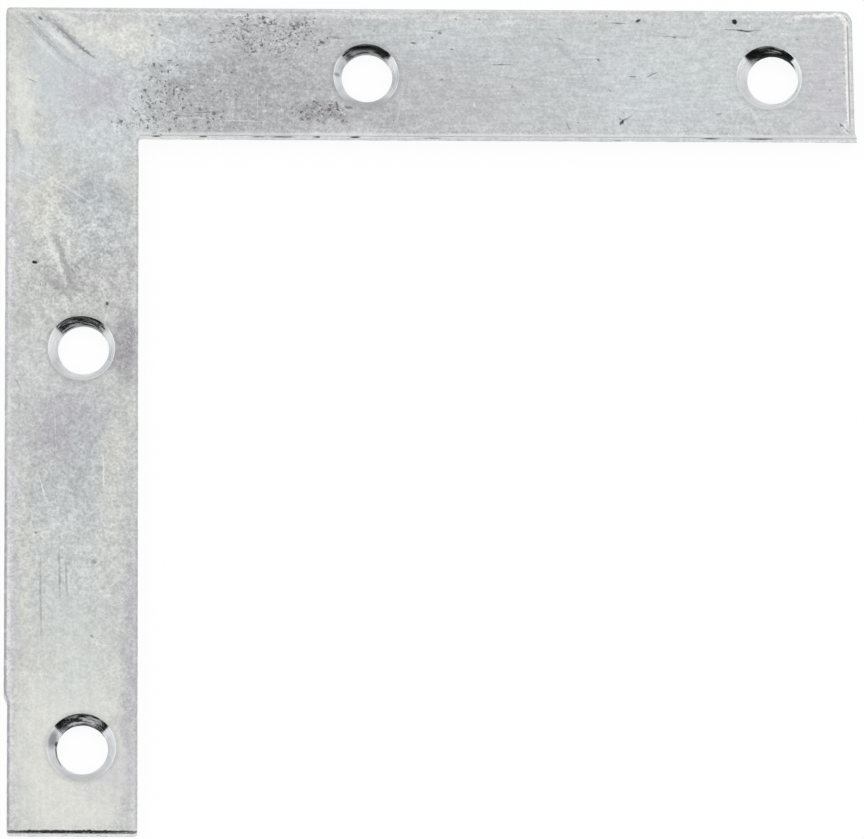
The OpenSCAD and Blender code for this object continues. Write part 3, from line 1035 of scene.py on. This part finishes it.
# dirt, with one painted shade line along the end of the side arm
dirt_and_shade = strongest(tree, times(tree, speckle, 0.74), marks(tree, nearly, DARK_MARKS))
tone = lay(tree, tone, (glints, 0.42, (0.94, 0.945, 0.945)), (dirt_and_shade, 0.95, (0.14, 0.13, 0.14)))
feed(tree, metal.inputs["Base Color"], tone)
feed(tree, metal.inputs["Metallic"], ramp(tree, dirt_and_shade, 0.0, 1.0, 1.0, 0.15, smooth=False))

roughness = ramp(tree, edge, 0.5, 1.2, 0.20, 0.33)
for more in (ramp(tree, grains, 0.3, 0.7, -0.04, 0.06), times(tree, lip, 0.22), times(tree, dirt_and_shade, 0.3)):
    roughness = sums(tree, "ADD", roughness, more)
feed(tree, metal.inputs["Roughness"], roughness)
bend_light(tree, metal, grains, times(tree, liveliness, 0.45), 0.01)

# %% [markdown]
# The sheared wall. Its upper part was burnished by the tool and plated like the face; its
# lower part tore, so it is rougher. The height of a point tells the two apart. Both were
# plated after the cut, so the wall is as pale as the face, with dirt caught in the tears
# here and there and dark spots on the lower side of the top arm, and with painted shade in
# the corner under the rolled edge at the end of the side arm. The bores are such walls too,
# and some of them are painted black on one side, as painted shade.

# %% Material: sheared wall
SHADED_BORES = [
    # painted shade on one side of some bores: centre, half size, turn, softness, strength
    ((82.8, 2.2), (3.2, 1.7), 0, 0.2, 0.95),
    ((1.4, -79.6), (3, 1.5), 0, 0.2, 0.85),
    ((-1.6, -81.6), (0.3, 0.7), 0, 0.3, 0.85),
    ((34.8, 2), (3, 1.4), 0, 0.4, 0.5),
    ((1.4, -31.4), (3, 1.4), 0, 0.4, 0.5),
]
WALL_SPOTS = [
    # dark spots and bands on the lower side of the top arm: x, height, half length, half height, strength
    (9.9, 1.3, 0.40, 0.40, 0.9), (15.5, 1.3, 0.45, 0.36, 0.8), (21.9, 1.2, 0.80, 0.34, 0.7),
    (24.8, 1.2, 1.35, 0.34, 0.9), (28.9, 1.3, 0.36, 0.38, 0.9), (33.4, 1.3, 0.55, 0.40, 1),
    (42.4, 1, 1.10, 0.28, 0.7), (75.4, 1.3, 0.95, 0.34, 0.9), (81.2, 1.3, 1.35, 0.32, 0.9),
    (46, 0.5, 36, 0.45, 0.14), (83, 1, 9, 0.2, 0.35), (69, 1, 4, 0.15, 0.3),
]
WALL_SPOT_DEPTH = 1.5       # how far in from the wall's own plane a spot still counts

sheared, tree, metal = new_material("sheared wall")
place = place_in_mm(tree)
wall_z = split(tree, place)[2]
wavy_z = sums(tree, "ADD", wall_z, ramp(tree, cloud(tree, place, 0.8, 2.0), 0.3, 0.7, -0.15, 0.15))
torn = ramp(tree, wavy_z, 1.45, 0.95)
tear_lines = place_group(tree, streaks, Place=vectors(tree, "MULTIPLY", place, (1, 1, 0.15)), Turn=0.8,
                         Along=3.0, Across=3.0, Cut_low=0.3, Cut_high=0.7)
wall_grime = place_group(tree, specks, Place=vectors(tree, "MULTIPLY", place, (0.5, 0.5, 1)),
                         Grime=0.5, Scale=1.6)
# painted shade in the corner under the rolled edge at the end of the side arm
shade_under_roll = patch(tree, place, (0, end_y - 0.2, 1.72), (30, 0.8, 0.26), softness=0.2)
in_bore = ramp(tree, kept(tree, "edge_gap"), 1.0, 2.0)
# painted shade on one side of some bores, over a little dirt in every bore
bore_shade = times(tree, patches(tree, vectors(tree, "MULTIPLY", place, (1, 1, 0)), SHADED_BORES),
                   ramp(tree, wall_z, 0.02, 0.16))
bore_dirt_and_shade = times(tree, in_bore, sums(tree, "ADD", bore_shade, 0.04))
spot_place = pushed(tree, place, push_from(tree, place, 2.2, 2.0), 0.5, flat=False)
wall_spots = patches(tree, spot_place, [
    ((x, inner_y, z), (half_x, WALL_SPOT_DEPTH, half_z), 0, 0.5, strength)
    for x, z, half_x, half_z, strength in WALL_SPOTS])
# dirt, dark spots and painted shade, as one mask
wall_dirt_and_shade = strongest(tree, times(tree, wall_grime, 0.6), shade_under_roll, bore_dirt_and_shade, wall_spots)
wall_tone = blend(tree, torn, colour(0.83, 0.83, 0.84), colour(0.945, 0.945, 0.95))
wall_tone = lay(tree, wall_tone,
                (tear_lines, 0.30, (0.66, 0.655, 0.65)),
                (wall_dirt_and_shade, 1.0, (0.11, 0.10, 0.10)))
feed(tree, metal.inputs["Base Color"], wall_tone)
feed(tree, metal.inputs["Metallic"], ramp(tree, wall_dirt_and_shade, 0.0, 0.9, 1.0, 0.0, smooth=False))
feed(tree, metal.inputs["Specular IOR Level"], ramp(tree, wall_dirt_and_shade, 0.0, 0.9, 0.5, 0.08, smooth=False))
wall_roughness = ramp(tree, torn, 0.0, 1.0, 0.20, 0.27)
for more in (ramp(tree, wall_z, 1.50, 1.62, 0.0, 0.3), times(tree, wall_dirt_and_shade, 0.5)):
    wall_roughness = sums(tree, "ADD", wall_roughness, more)
feed(tree, metal.inputs["Roughness"], wall_roughness)
wall_height = times(tree, cloud(tree, place, 5.0, 3.0, 0.7), ramp(tree, torn, 0.0, 1.0, 0.2, 1.0))
bend_light(tree, metal, wall_height, 0.5, 0.012)

# %% [markdown]
# The countersinks were turned with a drill that chattered a little, so the cones carry
# fine rings, and they were plated after. They are the smoothest part of the brace: they
# mirror the dark side of the studio as a crescent. A scuff is rough and grey and softens
# its crescent, a dull place is evenly rough and pale, a darker place is painted shade, and
# a line along one bore is painted dark; the top of each cone is painted paler, as a
# painted highlight. The rings follow the distance from the cone's axis, which every point
# keeps, and all the rest are soft patches like the tints.

# %% Material: turned countersink
RING_PITCH = 0.16       # from one fine ring to the next
SCUFFS = [
    # centre, half size, turn in degrees, softness, strength
    ((34.7, 2.44), (2.8, 0.44), 0, 0.7, 0.62),
    ((37.4, 1.6), (0.8, 0.8), 0, 0.7, 0.6),
    ((31.9, 1.8), (0.8, 0.9), 0, 0.7, 0.6),
    ((1, -30.9), (2.6, 0.75), 0, 0.7, 0.72),
    ((-1.7, -31.7), (0.9, 0.9), 0, 0.7, 0.85),
    ((3.9, -31.5), (0.9, 0.9), 0, 0.7, 0.85),
    ((1.6, -78.8), (2.2, 0.72), 0, 0.6, 1),
    ((82.9, 3), (1.7, 0.26), -4, 0.7, 0.6),
]
DULL = [
    # where a cone is evenly dull, so that it mirrors nothing dark
    ((79.6, -1.2), (1.5, 2.6), 0, 0.4, 0.8),
    ((82.6, -3.3), (4, 1.9), 0, 0.4, 0.8),
    ((1.2, -84.2), (4.4, 2.3), 0, 0.4, 0.7),
    ((34.8, -3), (4.2, 2.2), 0, 0.4, 0.7),
    ((1.2, -36.2), (4.4, 2.4), 0, 0.4, 0.6),
    ((31.2, -1), (0.9, 1.7), 0, 0.5, 0.7),
    ((-2.5, -34.2), (1.2, 2), 0, 0.5, 0.7),
    ((-2.4, -83.4), (1.2, 1.6), 0, 0.5, 0.7),
    ((5, -82.4), (1, 2.4), 0, 0.5, 0.6),
]
CONE_SHADE_AND_LINES = [
    # painted shade on the cones, and dark lines along one bore
    ((-2.1, -80.9), (0.5, 1.1), -20, 0.6, 0.9),
    ((1, -31), (3.2, 1), 0, 0.6, 0.3),
    ((34.6, -4), (3.4, 1.2), 0, 0.5, 0.54),
    ((86.45, -0.6), (0.3, 2.2), 0, 0.5, 0.3),
    ((38.55, -0.3), (0.26, 1.9), 0, 0.5, 0.4),
    ((1.3, -85.9), (3.2, 1.1), 0, 0.6, 0.26),
    ((31.25, -0.2), (0.35, 0.25), 0, 0.6, 0.8),
    ((31.8, 1), (0.5, 1.3), -22, 0.8, 0.35),
    ((-1.65, -81.4), (0.26, 0.34), -4, 0.5, 1.3),
    ((-1.66, -82.4), (0.10, 0.75), 6, 0.5, 1),
    ((-1.34, -83.5), (0.09, 0.60), 26, 0.5, 0.8),
]

turned_cone, tree, metal = new_material("turned countersink")
place = place_in_mm(tree)
on_plane = vectors(tree, "MULTIPLY", place, (1, 1, 0))
radius = kept(tree, "turned_r")
ring_wave = sums(tree, "SINE", times(tree, radius, 2 * math.pi / RING_PITCH))
round_and_out = add(tree, "ShaderNodeCombineXYZ")
feed(tree, round_and_out.inputs[2], times(tree, radius, 5.0))
ring_place = vectors(tree, "ADD", vectors(tree, "SCALE", on_plane, scale=0.55), round_and_out.outputs[0])
ring_noise = cloud(tree, ring_place, 1.0, 3.0, 0.65)
streaky = ramp(tree, ring_noise, 0.38, 0.62)
dull = patches(tree, on_plane, DULL)
scuffed = times(tree, patches(tree, on_plane, SCUFFS), ramp(tree, streaky, 0.0, 1.0, 0.12, 1.0))
# painted highlight: the top of each cone is painted paler
rim = ramp(tree, split(tree, place)[2], 1.80, 1.93)
sink_tone = blend(tree, streaky, colour(0.86, 0.872, 0.878), colour(0.91, 0.92, 0.922))
dull_tone = blend(tree, streaky, colour(0.93, 0.94, 0.945), colour(0.98, 0.985, 0.99))
sink_tone = lay(tree, blend(tree, dull, sink_tone, dull_tone),
                (rim, 0.38, (0.97, 0.975, 0.98)),
                (patches(tree, on_plane, CONE_SHADE_AND_LINES), 0.8, (0.42, 0.40, 0.425)))
feed(tree, metal.inputs["Base Color"], sink_tone)
metal.inputs["Metallic"].default_value = 1.0
feed(tree, metal.inputs["Roughness"], ramp(tree, strongest(tree, scuffed, dull), 0.0, 1.0, 0.10, 0.46,
                                           smooth=False))
sink_height = sums(tree, "ADD", times(tree, ring_wave, 0.10), times(tree, ring_noise, 0.6))
bend_light(tree, metal, sink_height, 0.5, 0.02)

# %% [markdown]
# The skin takes the place of the solid plate: it rides on the same body, and the solid
# stays hidden underneath for the physics. Its three finishes go on the skin as its three
# materials; it is all one piece of plated steel.

# %% Put the plate in the frame
for material in (plated, sheared, turned_cone):
    plate_mesh.materials.append(material)
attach(plate, "root")
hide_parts("corner_plate")

# %% [markdown]
# The stage is a plain white floor. Seen by the camera or in a reflection it is nearly pure
# white by itself, so the picture's ground stays clean, and the rest of it is an ordinary
# matt white that takes the plate's soft shadow.

# %% Floor
FLOOR_SIZE = 6.0            # metres
FLOOR_GAP = 0.02            # millimetres, so that plate and floor never share a plane
PAPER_GLOW = 0.88           # how white by itself the camera sees it
bpy.ops.mesh.primitive_plane_add(size=FLOOR_SIZE, location=(0, 0, -FLOOR_GAP * MM))
floor = bpy.context.object
floor.name = "floor"
paper = bpy.data.materials.new("white paper")
paper.use_nodes = True
tree = paper.node_tree
tree.nodes.remove(tree.nodes["Principled BSDF"])
matt = add(tree, "ShaderNodeBsdfDiffuse")
matt.inputs[0].default_value = (1, 1, 1, 1)
glow = add(tree, "ShaderNodeEmission")
seen = add(tree, "ShaderNodeLightPath")
either = strongest(tree, *(seen.outputs[f"Is {kind} Ray"] for kind in ("Camera", "Glossy", "Transmission")))
both = add(tree, "ShaderNodeMixShader")
feed(tree, both.inputs[0], times(tree, either, PAPER_GLOW))
feed(tree, both.inputs[1], matt.outputs[0])
feed(tree, both.inputs[2], glow.outputs[0])
feed(tree, tree.nodes["Material Output"].inputs[0], both.outputs[0])
floor.data.materials.append(paper)

# %% [markdown]
# The light is a white tent that is open low down on the side where the photographer
# stands. Overhead it is even, and lower down it is a little brighter. The dark opening is
# what draws the black crescents in the countersinks and the dark line along the rolled
# edges that face it. The camera itself sees plain white everywhere.

# %% Light tent
OPENING_HALF, OPENING_TOP = 62, 25      # degrees: half the opening's width, and its height
OPENING_LIGHT = 0.006                   # what still comes out of the opening

world = bpy.data.worlds.new("light tent")
bpy.context.scene.world = world
world.use_nodes = True
tree = world.node_tree
backdrop = tree.nodes["Background"]
direction = split(tree, vectors(tree, "NORMALIZE", add(tree, "ShaderNodeTexCoord").outputs["Generated"]))
height = sums(tree, "ARCSINE", direction[2])
upper = ramp(tree, height, math.radians(80), math.radians(45), 1.0, 1.12)
foot = ramp(tree, height, 0.0, math.radians(30), 0.88, 1.0)
bearing = sums(tree, "ARCTAN2", direction[0], times(tree, direction[1], -1.0))
open_side = ramp(tree, sums(tree, "ABSOLUTE", bearing),
                 math.radians(OPENING_HALF + 2), math.radians(OPENING_HALF - 2))
open_foot = ramp(tree, height, math.radians(OPENING_TOP + 3), math.radians(OPENING_TOP - 3))
dark = times(tree, open_side, open_foot)
level = times(tree, upper, foot, ramp(tree, dark, 0.0, 1.0, 1.0, OPENING_LIGHT, smooth=False))
seen = add(tree, "ShaderNodeLightPath")
feed(tree, backdrop.inputs["Strength"], between(tree, seen.outputs["Is Camera Ray"], level, 1.0))
backdrop.inputs["Color"].default_value = (1, 1, 1, 1)

# %% [markdown]
# The camera stands far back with a long lens and looks down on the plate from the open
# side of the tent, a little off square. Its place was worked out from the outline and the
# rims of the holes, so the corners of the plate fall where they do in the picture.

# %% Camera
AIM = Vector((42.37, -42.06, 1.0))        # the middle of the picture, on the plate
AZIMUTH, ELEVATION, ROLL = math.radians(-6.62), math.radians(75.65), math.radians(6.66)
STAND_OFF = 1861.0
PIXELS_PER_MM, PICTURE_WIDTH = 8.508, 864
camera_data = bpy.data.cameras.new("camera")
camera = bpy.data.objects.new("camera", camera_data)
bpy.context.collection.objects.link(camera)
back = Vector((math.sin(AZIMUTH) * math.cos(ELEVATION), -math.cos(AZIMUTH) * math.cos(ELEVATION),
               math.sin(ELEVATION)))
right = Vector((math.cos(AZIMUTH), math.sin(AZIMUTH), 0))
up = back.cross(right)
right, up = (right * math.cos(ROLL) + up * math.sin(ROLL), up * math.cos(ROLL) - right * math.sin(ROLL))
camera.matrix_world = (Matrix.Translation((AIM + back * STAND_OFF) * MM)
                       @ Matrix((right, up, back)).transposed().to_4x4())
camera_data.sensor_width = 36.0
camera_data.lens = PIXELS_PER_MM * STAND_OFF * camera_data.sensor_width / PICTURE_WIDTH
camera_data.clip_end = 20.0
bpy.context.scene.camera = camera
bpy.context.scene.view_settings.view_transform = "Standard"
print(f"lens {camera_data.lens:.0f} mm at {STAND_OFF / 1000:.2f} m")
